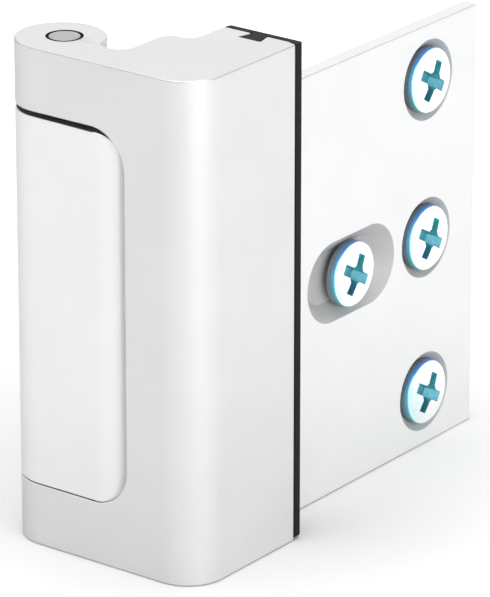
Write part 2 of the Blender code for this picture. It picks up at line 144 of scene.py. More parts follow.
# Sizes of the screws
HEAD_RADIUS = 5.0 * MM
HEAD_SINK = 0.1 * MM
HEAD_RIM = 0.65 * MM
HEAD_LIP = HEAD_RIM - HEAD_SINK
HEAD_EDGE = 0.12 * MM
HEAD_DOME = 0.55 * MM
HEAD_DOME_STEPS = 10
HEAD_SEAT = 0.9 * MM
HEAD_CONE_DEPTH = 2.1 * MM
HEAD_FOOT = -HEAD_SINK - HEAD_CONE_DEPTH
SHANK_RADIUS = 2.4 * MM
CORE_RADIUS = 1.7 * MM
SCREW_LENGTH = 12.7 * MM
POINT_LENGTH = 4.5 * MM
THREAD_PITCH = 1.8 * MM
THREAD_ROWS = 90
THREAD_STEEPNESS = 3.2
RECESS_SPAN = 6.8 * MM
RECESS_BLADE = 1.95 * MM
RECESS_CENTRE = 3.0 * MM
RECESS_DEPTH = 2.2 * MM
RECESS_FOOT_SHARE = 0.5
RECESS_FOOT_WIDTH_SHARE = 0.7
RECESS_TURN = math.radians(-30)

# Sizes of the spring
SPRING_RADIUS = 3.2 * MM
SPRING_WIRE_RADIUS = 0.35 * MM
SPRING_END_RISE = 1.2 * MM
SPRING_TURNS = 7
SPRING_POINTS_PER_TURN = 36

# Fineness of the drawn forms
OVERRUN = 2.0 * MM
ARC_TOLERANCE = 0.002 * MM
LEAST_ARC_STEPS = 3
RIM_ROUNDING = 0.22 * MM
EDGE_ROUNDING = 0.14 * MM
KNUCKLE_ROUNDING = 0.2 * MM
CURVE_RESOLUTION = 3
EDGE_SEGMENTS = 2
SHARP_ANGLE = math.radians(40)
HEAD_SHARP_ANGLE = math.radians(25)

# Upright share of a face's normal, by which rims, seats and ends are told from the rest
RIM_TILT_SHARES = (0.05, 0.98)
SEAT_TILT_SHARE = 0.9
END_TILT_SHARE = 0.3

# Usual range of a noise texture's value
NOISE_LOW = 0.3
NOISE_HIGH = 0.7

# The camera, fitted to the object's edges in the photograph, with its angles in degrees
CAMERA_AZIMUTH = 37.02
CAMERA_ELEVATION = 21.06
CAMERA_PLACE = HINGE + Vector((424.7 * MM, -520.8 * MM, 294.96 * MM))
CAMERA_CLIP_END = 20
FOCAL_PIXELS = 4987.0
PHOTO_HEIGHT_PIXELS = 597.0
SENSOR_HEIGHT = 36.0

# The studio. The floor's own light goes by the distance from the part: metres, then light.
WORLD_STRENGTH = 0.1
FLOOR_REACH = 4
FLOOR_CELLS = 8
FLOOR_DROP = 0.05 * MM
FLOOR_LIGHT = ((0.02, 0), (0.1, 0.42), (0.9, 0.92))
LAMP_DISTANCE = 0.8
# Name, azimuth and elevation in degrees, width and height, and power in watts
LAMPS = (
    ("key_a", 60, 10, (0.3, 0.6), 1.25),
    ("key_b", 48, 8, (0.25, 0.6), 0.3),
    ("key_c", 78, 15, (0.3, 0.6), 1.6),
    ("top_box", 0, 85, (0.9, 0.9), 6.3),
    ("left_a", -56, 8, (0.16, 0.7), 0.5),
    ("left_box", -75, 8, (0.3, 0.7), 0.2),
    ("back_box", 217, 20, (0.6, 0.6), 0.25),
    ("rear_box", 165, 5, (0.6, 0.6), 1.2),
)

pieces = bpy.data.collections.new("pieces")
bpy.context.scene.collection.children.link(pieces)


def arc_steps(radius, angle):
    """Count the straight pieces that keep an arc within the tolerance."""
    step = 2 * math.acos(1 - ARC_TOLERANCE / max(radius, 2 * ARC_TOLERANCE))
    return max(LEAST_ARC_STEPS, math.ceil(abs(angle) / step))


def rounded(corners):
    """Turn corners (x, y, radius) into a closed outline with its corners rounded."""
    points = []
    for index, (x, y, radius) in enumerate(corners):
        corner = Vector((x, y))
        if radius == 0:
            points.append(corner)
            continue
        before = (Vector(corners[index - 1][:2]) - corner).normalized()
        after = (Vector(corners[(index + 1) % len(corners)][:2]) - corner).normalized()
        half = before.angle(after) / 2
        centre = corner + (before + after).normalized() * (radius / math.sin(half))
        start = corner + before * (radius / math.tan(half)) - centre
        end = corner + after * (radius / math.tan(half)) - centre
        turn = start.angle_signed(end)
        steps = arc_steps(radius, turn)
        for step in range(steps + 1):
            points.append(centre + Matrix.Rotation(-turn * step / steps, 2) @ start)
    return [
        point for index, point in enumerate(points)
        if (point - points[index - 1]).length > ARC_TOLERANCE
    ]


def arc_points(centre, radius, start, end):
    """Points on an arc, with its two ends, as corners that stay sharp."""
    steps = arc_steps(radius, end - start)
    angles = [start + (end - start) * step / steps for step in range(steps + 1)]
    return [(centre[0] + radius * math.cos(a), centre[1] + radius * math.sin(a), 0) for a in angles]


def link_mesh(name, mesh, location, rotation=(0, 0, 0)):
    """Add an object for a mesh."""
    made = bpy.data.objects.new(name, mesh)
    made.location = location
    made.rotation_euler = rotation
    pieces.objects.link(made)
    return made


def evaluated_mesh(source):
    """A new mesh of an object as its modifiers or its curve make it."""
    made = source.evaluated_get(bpy.context.evaluated_depsgraph_get())
    return bpy.data.meshes.new_from_object(made)


def curve_mesh(curve):
    """Turn a curve into a mesh, and remove the curve."""
    drawn = bpy.data.objects.new(curve.name, curve)
    bpy.context.scene.collection.objects.link(drawn)
    mesh = evaluated_mesh(drawn)
    bpy.data.objects.remove(drawn)
    bpy.data.curves.remove(curve)
    return mesh


def prism(name, outline, low, high, finishes, location=HINGE, rotation=(0, 0, 0), rim=0):
    """Extrude a flat outline from low to high along its own Z, with rounded rims.

    The first finish is for the faces and the second, if any, for the rims.
    """
    curve = bpy.data.curves.new(name, "CURVE")
    curve.dimensions = "2D"
    curve.fill_mode = "BOTH"
    curve.extrude = (high - low) / 2 - rim
    curve.bevel_depth = rim
    curve.bevel_resolution = CURVE_RESOLUTION
    curve.offset = -rim
    spline = curve.splines.new("POLY")
    spline.points.add(len(outline) - 1)
    for point, place in zip(spline.points, outline):
        point.co = (place[0], place[1], 0, 1)
    spline.use_cyclic_u = True
    mesh = curve_mesh(curve)
    welded = bmesh.new()
    welded.from_mesh(mesh)
    bmesh.ops.remove_doubles(welded, verts=welded.verts, dist=ARC_TOLERANCE)
    bmesh.ops.translate(welded, verts=welded.verts, vec=(0, 0, (high + low) / 2))
    bmesh.ops.recalc_face_normals(welded, faces=welded.faces)
    if len(finishes) > 1:
        side_tilt, flat_tilt = RIM_TILT_SHARES
        for face in welded.faces:
            face.material_index = int(side_tilt < abs(face.normal.z) < flat_tilt)
    welded.to_mesh(mesh)
    welded.free()
    for finish in finishes:
        mesh.materials.append(finish)
    return link_mesh(name, mesh, location, rotation)


def revolved(name, profile, location, rotation=(0, 0, 0), ridge=None, finish=None):
    """Sweep a profile of (radius, height) pairs round, closed at both ends on the axis.

    The count of steps is a multiple of four, so that the sweep meets both axes, and a
    ridge, if any, adds to the radius.
    """
    count = 4 * math.ceil(arc_steps(max(radius for radius, _ in profile), math.tau) / 4)
    shape = bmesh.new()
    rings = []
    for radius, height in profile:
        if radius == 0:
            rings.append([shape.verts.new((0, 0, height))])
            continue
        ring = []
        for index in range(count):
            angle = math.tau * index / count
            reach = radius + (ridge(angle, height, radius) if ridge else 0)
            ring.append(shape.verts.new((reach * math.cos(angle), reach * math.sin(angle), height)))
        rings.append(ring)
    for upper, lower in zip(rings, rings[1:]):
        for index in range(count):
            following = (index + 1) % count
            if len(upper) == 1:
                shape.faces.new((upper[0], lower[index], lower[following]))
            elif len(lower) == 1:
                shape.faces.new((upper[index], lower[0], upper[following]))
            else:
                shape.faces.new((upper[index], lower[index], lower[following], upper[following]))
    bmesh.ops.recalc_face_normals(shape, faces=shape.faces)
    mesh = bpy.data.meshes.new(name)
    shape.to_mesh(mesh)
    shape.free()
    if finish:
        mesh.materials.append(finish)
    return link_mesh(name, mesh, location, rotation)


def bore(low, high, finish):
    """Make an upright cylinder on the hinge axis, for cutting, with flared mouths."""
    half = [
        (BORE_RADIUS + outwards * MOUTH_ROUNDING, upwards * MOUTH_ROUNDING)
        for outwards, upwards in MOUTH_SHARES
    ]
    top = [(radius, high + lift) for radius, lift in half]
    bottom = [(radius, low - lift) for radius, lift in reversed(half)]
    profile = [(0, top[0][1]), *top, *bottom, (0, bottom[-1][1])]
    return revolved("bore", profile, HINGE, finish=finish)


def apply_modifiers(target):
    """Turn what an object's modifiers make into its own mesh."""
    mesh = evaluated_mesh(target)
    target.modifiers.clear()
    target.data = mesh


def cut(target, tool, operation="DIFFERENCE"):
    """Cut, join or intersect a piece with a tool, apply it, and remove the tool."""
    step = target.modifiers.new("cut", "BOOLEAN")
    step.operation = operation
    step.solver = "EXACT"
    step.material_mode = "TRANSFER"
    step.object = tool
    apply_modifiers(target)
    bpy.data.objects.remove(tool)


def soften(target, chosen=lambda place: True, width=EDGE_ROUNDING):
    """Round the sharp edges whose middles are chosen, and shade the rest smooth.

    The roundings get the piece's first finish.
    """
    target.data.shade_smooth()
    target.data.set_sharp_from_angle(angle=SHARP_ANGLE)
    shape = bmesh.new()
    shape.from_mesh(target.data)
    weight = shape.edges.layers.float.new("bevel_weight_edge")
    for edge in shape.edges:
        sharp = len(edge.link_faces) == 2 and edge.calc_face_angle() > SHARP_ANGLE
        middle = (edge.verts[0].co + edge.verts[1].co) / 2
        edge[weight] = float(sharp and chosen(middle))
    shape.to_mesh(target.data)
    shape.free()
    bevel = target.modifiers.new("edges", "BEVEL")
    bevel.width = width
    bevel.segments = EDGE_SEGMENTS
    bevel.limit_method = "WEIGHT"
    bevel.use_clamp_overlap = False
    bevel.material = 0
    even = target.modifiers.new("even", "WEIGHTED_NORMAL")
    even.weight = 100
    even.keep_sharp = True
    apply_modifiers(target)


def paint_faces(target, finish, chosen):
    """Give the chosen faces of a piece one more finish."""
    target.data.materials.append(finish)
    for face in target.data.polygons:
        if chosen(face):
            face.material_index = len(target.data.materials) - 1


def tongue_corners(gap, mouth, rounding):
    """Corners of the dovetail in the bar's back, grown by a gap and open at its mouth."""
    neck = TONGUE_NECK / 2 + gap
    foot = TONGUE_FOOT / 2 + gap
    bottom = BAR_BACK - TONGUE_DEPTH - gap
    return [
        (TONGUE_CENTRE - neck, mouth, rounding),
        (TONGUE_CENTRE - foot, bottom, rounding / 2),
        (TONGUE_CENTRE + foot, bottom, rounding / 2),
        (TONGUE_CENTRE + neck, mouth, rounding),
    ]


def window_outline(reach, bottom, top, radius):
    """Outline of the window, drawn along X and upwards, open past the barrel."""
    start = -BAR_FRONT - OVERRUN
    return rounded([
        (start, bottom, 0),
        (reach, bottom, radius),
        (reach, top, radius),
        (start, top, 0),
    ])


def barrel_flank():
    """The fillet from the notch's floor into the barrel, and the barrel's back quarter."""
    rise = NOTCH_FLOOR + NOTCH_FILLET + BARREL_OFFSET
    lean = math.asin(rise / (BARREL_RADIUS + NOTCH_FILLET))
    run = (BARREL_RADIUS + NOTCH_FILLET) * math.cos(lean)
    fillet = (run - BARREL_OFFSET, NOTCH_FLOOR + NOTCH_FILLET)
    barrel = (-BARREL_OFFSET, -BARREL_OFFSET)
    return [
        *arc_points(fillet, NOTCH_FILLET, -math.pi / 2, lean - math.pi),
        *arc_points(barrel, BARREL_RADIUS, lean, math.pi / 2),
    ]


def on_lower_lug(face):
    """Tell whether a face is the top of the bar's lower lug."""
    return face.normal.z > SEAT_TILT_SHARE and abs(face.center.z - WINDOW_BOTTOM) < RIM_ROUNDING


def bar_body(finish, rim_finish, inside, seat):
    """The swing bar."""
    outline = rounded([
        (-BAR_FRONT, -BAR_FRONT, BARREL_RADIUS),
        (BAR_REACH, -BAR_FRONT, FRONT_CORNER_RADIUS),
        (BAR_REACH, BAR_BACK - BACK_CHAMFER_DEPTH, BACK_CHAMFER_ROUNDING),
        (BAR_REACH - BACK_CHAMFER_WIDTH, BAR_BACK, BACK_CHAMFER_ROUNDING),
        *reversed(tongue_corners(SEAT_GAP, BAR_BACK, TONGUE_LIP_ROUNDING)),
        (RECESS_WALL, BAR_BACK, RECESS_ROUNDING),
        (RECESS_WALL, LEDGE_BACK, LEDGE_ROUNDING),
        (NOTCH_WALL, LEDGE_BACK, LEDGE_ROUNDING),
        (NOTCH_WALL, NOTCH_FLOOR, NOTCH_FILLET),
        *barrel_flank(),
        (-BAR_FRONT, BARREL_BACK, BARREL_RADIUS),
    ])
    bar = prism("bar_body", outline, 0, BAR_HEIGHT, (finish, rim_finish), rim=RIM_ROUNDING)
    window = prism(
        "window",
        window_outline(WINDOW_REACH, WINDOW_BOTTOM, WINDOW_TOP, WINDOW_CORNER_RADIUS),
        -BAR_BACK - OVERRUN,
        BAR_FRONT + OVERRUN,
        (finish,),
        rotation=(math.pi / 2, 0, 0),
    )
    cut(bar, window)
    reach = WINDOW_REACH - RELIEF_INSET
    relief = rounded([
        (0, WINDOW_TOP, 0),
        (reach, WINDOW_TOP, RELIEF_CORNER_RADIUS),
        (reach, WINDOW_BOTTOM, RELIEF_CORNER_RADIUS),
        (0, WINDOW_BOTTOM, 0),
    ])
    cut(bar, revolved("relief", relief, HINGE, finish=finish))
    cut(bar, bore(0, BAR_HEIGHT, inside))
    # The lower lug's top gets a dark finish, painted shade for the gap under the knuckle.
    paint_faces(bar, seat, on_lower_lug)
    soften(bar, lambda place: place.xy.length > BORE_RIM)
    return bar


def screw_places():
    """Centre of each screw on the plate's outer face, from the frame."""
    places = {}
    for name in ("jamb_screw_top", "jamb_screw_middle", "jamb_screw_bottom", "slot_screw"):
        low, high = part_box(name)
        places[name] = Vector((HINGE.x + PLATE_FACE, (low.y + high.y) / 2, (low.z + high.z) / 2))
    return places


def countersinks(finish):
    """Cones for the round holes, and two cones joined by a wedge for the slot, over a thin web."""
    slope = (COUNTERSINK_RADIUS - HOLE_RADIUS) / (PLATE_FACE - PLATE_BACK)
    outer = COUNTERSINK_RADIUS + slope * OVERRUN
    seat = COUNTERSINK_RADIUS - slope * WEB_DEPTH
    back = PLATE_BACK - PLATE_FACE - OVERRUN
    half_slot = SLOT_LENGTH / 2 - COUNTERSINK_RADIUS
    places = screw_places()
    slot = places.pop("slot_screw")
    sideways = (0, math.pi / 2, 0)
    cone = [(0, OVERRUN), (outer, OVERRUN), (seat, -WEB_DEPTH)]
    through = [*cone, (WEB_RADIUS, -WEB_DEPTH), (WEB_RADIUS, back), (0, back)]
    blind = [*cone, (0, -WEB_DEPTH)]
    tools = [
        revolved("hole", through, place, sideways, finish=finish)
        for place in places.values()
    ]
    for shift in (-half_slot, half_slot):
        end = slot + Vector((0, shift, 0))
        tools.append(revolved("hole", blind, end, sideways, finish=finish))
    wedge = ((-WEB_DEPTH, -seat), (OVERRUN, -outer), (OVERRUN, outer), (-WEB_DEPTH, seat))
    upright = (math.pi / 2, 0, 0)
    tools.append(prism("slot", wedge, -half_slot, half_slot, (finish,), slot, upright))
    reach = half_slot + WEB_RADIUS / 2
    opening = rounded([
        (-WEB_RADIUS, -WEB_RADIUS, WEB_RADIUS),
        (WEB_RADIUS, -WEB_RADIUS, WEB_RADIUS),
        (WEB_RADIUS, reach, WEB_RADIUS),
        (-WEB_RADIUS, reach, WEB_RADIUS),
    ])
    tools.append(prism("opening", opening, back, OVERRUN, (finish,), slot, sideways))
    return tools


def on_knuckle_end(face):
    """Tell whether a face of the bracket is on the knuckle's upper or lower end."""
    top = KNUCKLE_TOP + ARC_TOLERANCE
    place = face.center
    upper = face.normal.z > END_TILT_SHARE and top - BLOCK_CORNER_RADIUS < place.z < top
    under = face.normal.z < -END_TILT_SHARE and place.z < KNUCKLE_BOTTOM + RIM_ROUNDING
    lower = under and place.y < LEG_FRONT
    return place.x < ARM_REACH + ARC_TOLERANCE and (upper or lower)


def bracket_body(finish, rim_finish, inside, seat, cone_finish):
    """The bracket: knuckle, arm and leg in the window, then shoulder and plate."""
    front = prism(
        "bracket_body",
        rounded([
            (-BAR_FRONT, -BAR_FRONT, BARREL_RADIUS),
            (ARM_REACH, -BAR_FRONT, ARM_CORNER_RADIUS),
            (ARM_REACH, LEG_FRONT + OVERRUN, 0),
            (LEG_INNER, LEG_FRONT + OVERRUN, 0),
            (LEG_INNER, ARM_BACK, ARM_FILLET),
            (BARREL_BACK, ARM_BACK, ARM_FILLET),
            (BARREL_BACK, BARREL_BACK, BARREL_RADIUS),
            (-BAR_FRONT, BARREL_BACK, BARREL_RADIUS),
        ]),
        KNUCKLE_BOTTOM,
        KNUCKLE_TOP,
        (finish,),
    )
    block = prism(
        "corners",
        window_outline(ARM_REACH, KNUCKLE_BOTTOM, KNUCKLE_TOP, BLOCK_CORNER_RADIUS),
        -LEG_FRONT - 2 * OVERRUN,
        BAR_FRONT + OVERRUN,
        (finish,),
        rotation=(math.pi / 2, 0, 0),
    )
    cut(front, block, "INTERSECT")
    rear = prism(
        "rear",
        rounded([
            (LEG_INNER, LEG_FRONT, 0),
            (LEG_OUTER, LEG_FRONT, LEG_ROUNDING),
            (LEG_OUTER, SHOULDER_FRONT, SHOULDER_FILLET),
            (PLATE_FACE, SHOULDER_FRONT, SHOULDER_ROUNDING),
            (PLATE_FACE, PLATE_END, PLATE_EDGE_ROUNDING),
            (PLATE_BACK, PLATE_END, PLATE_EDGE_ROUNDING),
            (PLATE_BACK, SHOULDER_BACK, SHOULDER_FILLET),
            (LEG_INNER, SHOULDER_BACK, SHOULDER_ROUNDING),
        ]),
        0,
        PLATE_HEIGHT,
        (finish, rim_finish),
        rim=RIM_ROUNDING,
    )
    cut(front, rear, "UNION")
    cut(front, bore(KNUCKLE_BOTTOM, KNUCKLE_TOP, inside))
    for tool in countersinks(cone_finish):
        cut(front, tool)
    # The knuckle's ends and top corner get a dark finish, painted shade for the gaps in the window.
    paint_faces(front, seat, on_knuckle_end)
    soften(
        front,
        lambda place: place.y < LEG_FRONT and place.xy.length > KNUCKLE_RIM,
        KNUCKLE_ROUNDING,
    )
    return front


def pad_strip(finish):
    """The rubber strip with its tongue and its lip over the bar's chamfer."""
    inner = BAR_BACK + SEAT_GAP
    outline = rounded([
        (PAD_START, inner, 0),
        *tongue_corners(0, inner, 0),
        (BAR_REACH - BACK_CHAMFER_WIDTH, inner, 0),
        (BAR_REACH, inner - BACK_CHAMFER_DEPTH, 0),
        (BAR_REACH, PAD_FACE, PAD_CORNER_RADIUS),
        (PAD_START, PAD_FACE, PAD_CORNER_RADIUS),
    ])
    pad = prism("pad_strip", outline, PAD_LOW.z, BAR_HEIGHT - SEAT_GAP, (finish,))
    soften(pad)
    return pad


def pin_body(finish, side_finish):
    """The hinge pin, with chamfered ends and a side dark with painted shade."""
    profile = [
        (0, PIN_HIGH.z),
        (PIN_RADIUS - PIN_CHAMFER, PIN_HIGH.z),
        (PIN_RADIUS, PIN_HIGH.z - PIN_CHAMFER),
        (PIN_RADIUS, PIN_LOW.z + PIN_CHAMFER),
        (PIN_RADIUS - PIN_CHAMFER, PIN_LOW.z),
        (0, PIN_LOW.z),
    ]
    pin = revolved("pin_steel", profile, HINGE, finish=finish)
    soften(pin, width=EDGE_ROUNDING / 2)
    paint_faces(pin, side_finish, lambda face: face.center.xy.length > PIN_RADIUS - PIN_CHAMFER)
    return pin


def head_profile():
    """Half section of the screw's head, from the top of its dome to under its cone."""
    dome = []
    for step in range(HEAD_DOME_STEPS + 1):
        share = step / HEAD_DOME_STEPS
        dome.append(((HEAD_RADIUS - HEAD_EDGE) * share, HEAD_LIP + HEAD_DOME * (1 - share * share)))
    return [
        *dome,
        (HEAD_RADIUS, HEAD_LIP - HEAD_EDGE),
        (HEAD_RADIUS, -HEAD_SINK),
        (HEAD_RADIUS, -HEAD_SEAT),
        (SHANK_RADIUS, HEAD_FOOT),
    ]


def thread_profile(start):
    """Core of the threaded shank, in short steps, down to the point."""
    profile = []
    for row in range(THREAD_ROWS):
        height = start - (SCREW_LENGTH + start) * row / THREAD_ROWS
        share = min(1, (height + SCREW_LENGTH) / POINT_LENGTH)
        profile.append((CORE_RADIUS * share, height))
    return [*profile, (0, -SCREW_LENGTH)]


def thread_ridge(angle, height, radius):
    """Height of the thread's helical ridge above the core."""
    if height > HEAD_FOOT - THREAD_PITCH / 4 or radius > CORE_RADIUS:
        return 0
    phase = (height / THREAD_PITCH + angle / math.tau) % 1
    crest = max(0, 1 - abs(phase - 0.5) * THREAD_STEEPNESS)
    return crest * (SHANK_RADIUS - CORE_RADIUS) * min(1, radius / CORE_RADIUS)


def cross_tool(place, recess_finish):
    """Two tapered blades and a square centre, for the driver recess."""
    top = HEAD_RIM + HEAD_DOME + OVERRUN
    floor = HEAD_RIM + HEAD_DOME - HEAD_SINK - RECESS_DEPTH
    flare = 1 + (1 - RECESS_FOOT_SHARE) * OVERRUN / RECESS_DEPTH
    tool = None
    for length, width, turn in (
        (RECESS_SPAN, RECESS_BLADE, 0),
        (RECESS_SPAN, RECESS_BLADE, math.pi / 2),
        (RECESS_CENTRE, RECESS_CENTRE, math.pi / 4),
    ):
        blade = bmesh.new()
        bmesh.ops.create_cube(blade, size=1)
        top_width = flare if length == width else 1
        for vertex in blade.verts:
            upper = vertex.co.z > 0
            vertex.co = (
                vertex.co.x * length * (flare if upper else RECESS_FOOT_SHARE),
                vertex.co.y * width * (top_width if upper else RECESS_FOOT_WIDTH_SHARE),
                top if upper else floor,
            )
        spin = Matrix.Rotation(RECESS_TURN + turn, 3, "Z")
        bmesh.ops.rotate(blade, verts=blade.verts, cent=(0, 0, 0), matrix=spin)
        mesh = bpy.data.meshes.new("blade")
        blade.to_mesh(mesh)
        blade.free()
        mesh.materials.append(recess_finish)
        made = link_mesh("blade", mesh, place, (0, math.pi / 2, 0))
        if tool is None:
            tool = made
        else:
            cut(tool, made, "UNION")
    return tool


def screw(name, place, head_finishes, recess_finish):
    """One wood screw: domed head with a cross recess, and a threaded shank."""
    profile = [*head_profile(), *thread_profile(HEAD_FOOT - EDGE_ROUNDING)]
    made = revolved(name, profile, place, (0, math.pi / 2, 0), thread_ridge)
    for finish in head_finishes:
        made.data.materials.append(finish)
    for face in made.data.polygons:
        height = face.center.z
        face.material_index = int(height < HEAD_LIP) + int(height < -HEAD_SINK)
    cut(made, cross_tool(place, recess_finish))
    made.data.shade_smooth()
    made.data.set_sharp_from_angle(angle=HEAD_SHARP_ANGLE)
    return made


def spring_wire(finish):
    """The return spring, as one round wire whose end turns lie close."""
    low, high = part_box("hinge_spring")
    rise = high.z - low.z - 2 * SPRING_WIRE_RADIUS
    middle_rise = (rise - 2 * SPRING_END_RISE) / (SPRING_TURNS - 2)
    curve = bpy.data.curves.new("spring_wire", "CURVE")
    curve.dimensions = "3D"
    curve.bevel_depth = SPRING_WIRE_RADIUS
    curve.bevel_resolution = CURVE_RESOLUTION
    curve.use_fill_caps = True
    spline = curve.splines.new("POLY")
    spline.points.add(SPRING_TURNS * SPRING_POINTS_PER_TURN)
    for index, point in enumerate(spline.points):
        turns = index / SPRING_POINTS_PER_TURN
        end_turns = min(turns, 1) + max(turns - SPRING_TURNS + 1, 0)
        height = SPRING_END_RISE * end_turns + middle_rise * (turns - end_turns)
        angle = math.tau * turns
        point.co = (SPRING_RADIUS * math.cos(angle), SPRING_RADIUS * math.sin(angle), height, 1)
    mesh = curve_mesh(curve)
    mesh.materials.clear()
    mesh.materials.append(finish)
    mesh.shade_smooth()
    wire = link_mesh("spring_wire", mesh, HINGE + Vector((0, 0, low.z + SPRING_WIRE_RADIUS)))
    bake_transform(wire)
    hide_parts("hinge_spring")


def new_finish(name):
    """Start a material and return it with its nodes, links and shader."""
    made = bpy.data.materials.new(name)
    made.use_nodes = True
    nodes = made.node_tree.nodes
    return made, nodes, made.node_tree.links, nodes["Principled BSDF"]


def noise(nodes, links, scale, detail, stretch=(1, 1, 1)):
    """A noise texture in the object's own coordinates."""
    place = nodes.new("ShaderNodeTexCoord")
    mapping = nodes.new("ShaderNodeMapping")
    mapping.inputs["Scale"].default_value = stretch
    links.new(place.outputs["Object"], mapping.inputs["Vector"])
    made = nodes.new("ShaderNodeTexNoise")
    made.inputs["Scale"].default_value = scale
    made.inputs["Detail"].default_value = detail
    links.new(mapping.outputs["Vector"], made.inputs["Vector"])
    return made.outputs["Fac"]


def ranged(nodes, links, source, low, high):
    """Map a texture's value onto a range."""
    made = nodes.new("ShaderNodeMapRange")
    made.inputs["From Min"].default_value = NOISE_LOW
    made.inputs["From Max"].default_value = NOISE_HIGH
    made.inputs["To Min"].default_value = low
    made.inputs["To Max"].default_value = high
    links.new(source, made.inputs["Value"])
    return made.outputs["Result"]


def ramp(nodes, links, source, stops):
    """Map a value onto colours, each given with its position, in rising order."""
    made = nodes.new("ShaderNodeValToRGB")
    elements = made.color_ramp.elements
    for index, (position, colour) in enumerate(stops):
        element = elements[index] if index < 2 else elements.new(position)
        element.position = position
        element.color = (*colour, 1)
    links.new(source, made.inputs["Fac"])
    return made.outputs["Color"]


def tinted(nodes, links, source, dark, light):
    """Map a texture's value onto two colours."""
    return ramp(nodes, links, source, ((NOISE_LOW, dark), (NOISE_HIGH, light)))


def bumped(nodes, links, shader, sources):
    """Chain bump nodes of (texture value, strength, depth) into the shader."""
    previous = None
    for value, strength, depth in sources:
        made = nodes.new("ShaderNodeBump")
        made.inputs["Strength"].default_value = strength
        made.inputs["Distance"].default_value = depth
        links.new(value, made.inputs["Height"])
        if previous:
            links.new(previous, made.inputs["Normal"])
        previous = made.outputs["Normal"]
    links.new(previous, shader.inputs["Normal"])


def satin_finish(name, dark, light, metallic=0.45, roughness=(0.33, 0.41)):
    """Fine blasted and anodised aluminium, with faint lines along the extrusion."""
    made, nodes, links, shader = new_finish(name)
    grain = noise(nodes, links, scale=7000, detail=2)
    lines = noise(nodes, links, scale=2600, detail=2, stretch=(1, 1, 0.012))
    cloud = noise(nodes, links, scale=90, detail=3)
    links.new(tinted(nodes, links, cloud, dark, light), shader.inputs["Base Color"])
    links.new(ranged(nodes, links, grain, *roughness), shader.inputs["Roughness"])
    shader.inputs["Metallic"].default_value = metallic
    shader.inputs["Specular IOR Level"].default_value = 0.1
    shader.inputs["Specular Tint"].default_value = (0.6, 0.6, 0.6, 1)
    bumped(nodes, links, shader, [(grain, 0.12, 0.02 * MM), (lines, 0.05, 0.01 * MM)])
    return made


def rubber_finish():
    """Matt black rubber with moulding dust and a fine skin."""
    made, nodes, links, shader = new_finish("pad_rubber")
    dust = noise(nodes, links, scale=900, detail=5)
    skin = noise(nodes, links, scale=5000, detail=2)
    colours = tinted(nodes, links, dust, (0.004, 0.004, 0.0045), (0.012, 0.012, 0.0125))
    links.new(colours, shader.inputs["Base Color"])
    links.new(ranged(nodes, links, dust, low=0.55, high=0.75), shader.inputs["Roughness"])
    shader.inputs["Specular IOR Level"].default_value = 0.15
    bumped(nodes, links, shader, [(skin, 0.3, 0.04 * MM)])
    return made


def turned_finish(name, dark, light, roughness):
    """Machined metal with rings left by the lathe."""
    made, nodes, links, shader = new_finish(name)
    place = nodes.new("ShaderNodeTexCoord")
    rings = nodes.new("ShaderNodeTexWave")
    rings.wave_type = "RINGS"
    rings.rings_direction = "Z"
    rings.inputs["Scale"].default_value = 1500
    rings.inputs["Distortion"].default_value = 0.6
    links.new(place.outputs["Object"], rings.inputs["Vector"])
    stains = noise(nodes, links, scale=1200, detail=4)
    links.new(tinted(nodes, links, stains, dark, light), shader.inputs["Base Color"])
    links.new(ranged(nodes, links, stains, *roughness), shader.inputs["Roughness"])
    shader.inputs["Metallic"].default_value = 1
    bumped(nodes, links, shader, [(rings.outputs["Fac"], 0.08, 0.01 * MM)])
    return made


def zinc_painted_light_finish(name, axis, stops, roughness, metallic=1, mottle=0.12):
    """Bright zinc with painted light: its colour changes across the head, along one own axis, for
    tinted light and shade.
    """
    made, nodes, links, shader = new_finish(name)
    place = nodes.new("ShaderNodeTexCoord")
    parts = nodes.new("ShaderNodeSeparateXYZ")
    links.new(place.outputs["Object"], parts.inputs["Vector"])
    across = nodes.new("ShaderNodeMapRange")
    across.inputs["From Min"].default_value = -HEAD_RADIUS
    across.inputs["From Max"].default_value = HEAD_RADIUS
    links.new(parts.outputs[axis], across.inputs["Value"])
    spots = noise(nodes, links, scale=1600, detail=4)
    shifted = nodes.new("ShaderNodeMath")
    shifted.operation = "MULTIPLY_ADD"
    shifted.inputs[1].default_value = mottle
    links.new(spots, shifted.inputs[0])
    links.new(across.outputs["Result"], shifted.inputs[2])
    colours = ramp(nodes, links, shifted.outputs["Value"], stops)
    links.new(colours, shader.inputs["Base Color"])
    links.new(ranged(nodes, links, spots, *roughness), shader.inputs["Roughness"])
    shader.inputs["Metallic"].default_value = metallic
    bumped(nodes, links, shader, [(spots, 0.06, 0.02 * MM)])
    return made


def dress(piece, body, nodes):
    """Give a new piece its body, and hide the node that it stands for."""
    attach(piece, body)
    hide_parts(nodes)


def finish_node(name, finish):
    """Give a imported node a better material."""
    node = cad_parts[name]
    node.data.materials.clear()
    node.data.materials.append(finish)


def direction(azimuth, elevation):
    """Unit vector from the part towards an azimuth and an elevation in degrees."""
    turn = math.radians(azimuth)
    lift = math.radians(elevation)
    return Vector((
        math.sin(turn) * math.cos(lift),
        -math.cos(turn) * math.cos(lift),
        math.sin(lift),
    ))


def area_light(name, azimuth, elevation, size, power):
    """A soft light aimed at the middle of the part."""
    lamp = bpy.data.lights.new(name, "AREA")
    lamp.shape = "RECTANGLE"
    lamp.size, lamp.size_y = size
    lamp.energy = power
    made = bpy.data.objects.new(name, lamp)
    towards = direction(azimuth, elevation)
    made.location = Vector((0, 0, BAR_HEIGHT / 2)) + towards * LAMP_DISTANCE
    made.rotation_euler = towards.to_track_quat("Z", "Y").to_euler()
    made.visible_camera = False
    bpy.context.scene.collection.objects.link(made)


